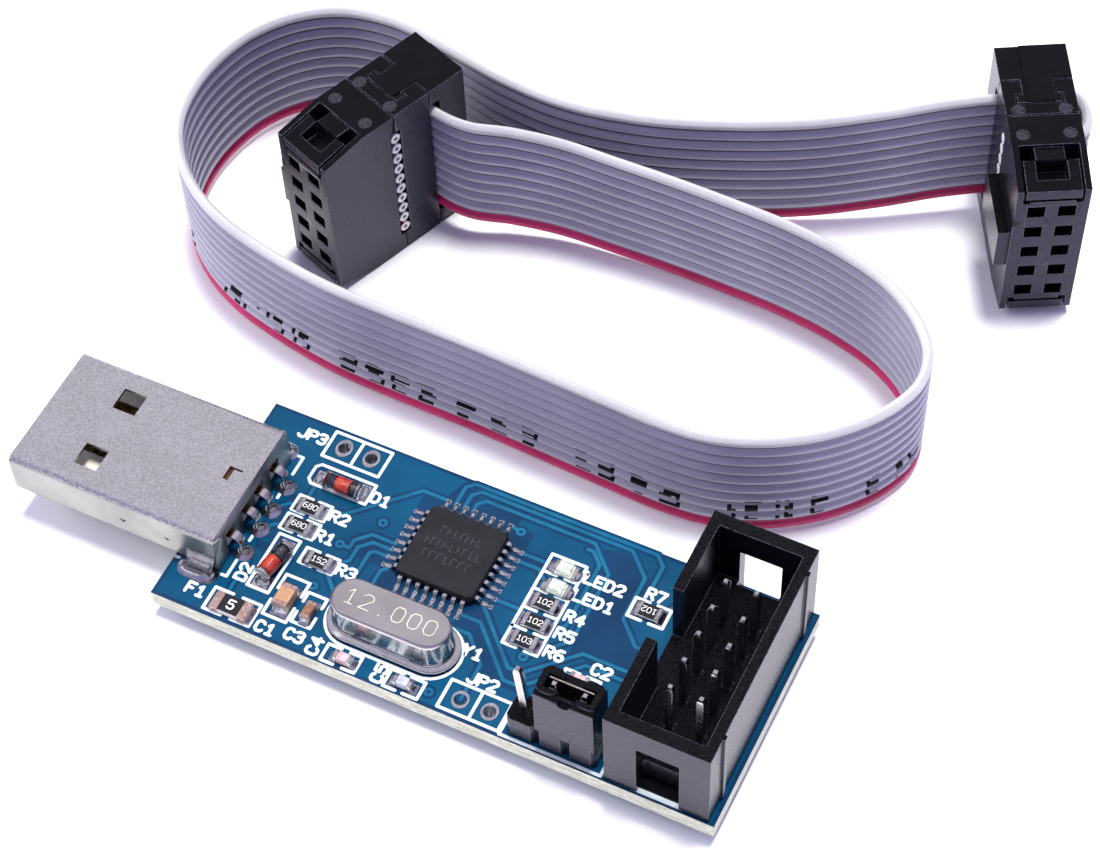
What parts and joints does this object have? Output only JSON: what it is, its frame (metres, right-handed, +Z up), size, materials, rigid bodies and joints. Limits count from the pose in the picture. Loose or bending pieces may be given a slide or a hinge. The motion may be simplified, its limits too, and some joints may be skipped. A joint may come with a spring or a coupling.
{
  "type": "usb microcontroller programmer",
  "caption": "Small USB programmer on a blue circuit board with a USB plug, a keyed box header, a pull-off mode jumper and a loose ten-way ribbon cable with a socket on each end.",
  "frame": {"origin": "under the middle of the programmer's length and width, on the surface that its solder tails stand on", "axes": "+X from the USB plug towards the box header, +Y across the board towards the loose ribbon cable, +Z up out of the component side"},
  "size_m": [0.0755, 0.073, 0.017],
  "materials": {
    "blue_mask": "solder mask over glass-epoxy laminate",
    "nickel": "satin nickel plate",
    "tinned": "bright tin plate over brass",
    "brass": "bright",
    "black_plastic": "satin moulded",
    "white_plastic": "satin moulded",
    "epoxy": "matt moulded epoxy with tinned leads",
    "red_glass": "red die in clear glass with tinned caps",
    "resistor_black": "glazed ceramic with tinned terminals",
    "tan_ceramic": "fired ceramic with tinned terminals",
    "brown_ceramic": "fired ceramic with tinned terminals",
    "pink_ceramic": "fired ceramic with tinned terminals",
    "grey_ceramic": "fired ceramic with tinned terminals",
    "led_white": "clear lens on a white carrier",
    "grey_vinyl": "satin vinyl, first conductor crimson"
  },
  "bodies": {
    "programmer": {"circuit_board": "blue_mask", "usb_shell": "nickel", "usb_insulator": "white_plastic", "usb_contact_1": "tinned", "usb_contact_2": "tinned", "usb_contact_3": "tinned", "usb_contact_4": "tinned", "isp_header_shroud": "black_plastic", "isp_header_pin_1": "tinned", "isp_header_pin_2": "tinned", "isp_header_pin_3": "tinned", "isp_header_pin_4": "tinned", "isp_header_pin_5": "tinned", "isp_header_pin_6": "tinned", "isp_header_pin_7": "tinned", "isp_header_pin_8": "tinned", "isp_header_pin_9": "tinned", "isp_header_pin_10": "tinned", "mode_header_base": "black_plastic", "mode_header_pin_1": "tinned", "mode_header_pin_2": "tinned", "mode_header_pin_3": "tinned", "microcontroller": "epoxy", "crystal_base": "nickel", "crystal_can": "nickel", "crystal_lead_1": "tinned", "crystal_lead_2": "tinned", "diode_1": "red_glass", "diode_2": "red_glass", "resistor_1": "resistor_black", "resistor_2": "resistor_black", "resistor_3": "resistor_black", "resistor_4": "resistor_black", "resistor_5": "resistor_black", "resistor_6": "resistor_black", "resistor_7": "resistor_black", "fuse": "resistor_black", "capacitor_1": "tan_ceramic", "capacitor_2": "pink_ceramic", "capacitor_3": "brown_ceramic", "capacitor_4": "pink_ceramic", "capacitor_5": "grey_ceramic", "led_1": "led_white", "led_2": "led_white"},
    "jumper": {"jumper_cap": "black_plastic", "jumper_clip": "brass"},
    "isp_cable": {"ribbon_cable": "grey_vinyl", "socket_a_body": "black_plastic", "socket_a_cover": "black_plastic", "socket_a_strain_relief": "black_plastic", "socket_b_body": "black_plastic", "socket_b_cover": "black_plastic", "socket_b_strain_relief": "black_plastic"}
  },
  "joints": [
    {"name": "jumper_pull", "type": "slide", "parent": "programmer", "child": "jumper", "axis": [0, 0, 1], "range_m": [0, 0.007]},
    {"name": "cable_lift", "type": "slide", "parent": "programmer", "child": "isp_cable", "axis": [0, 0, 1], "range_m": [0, 0.02]}
  ]
}
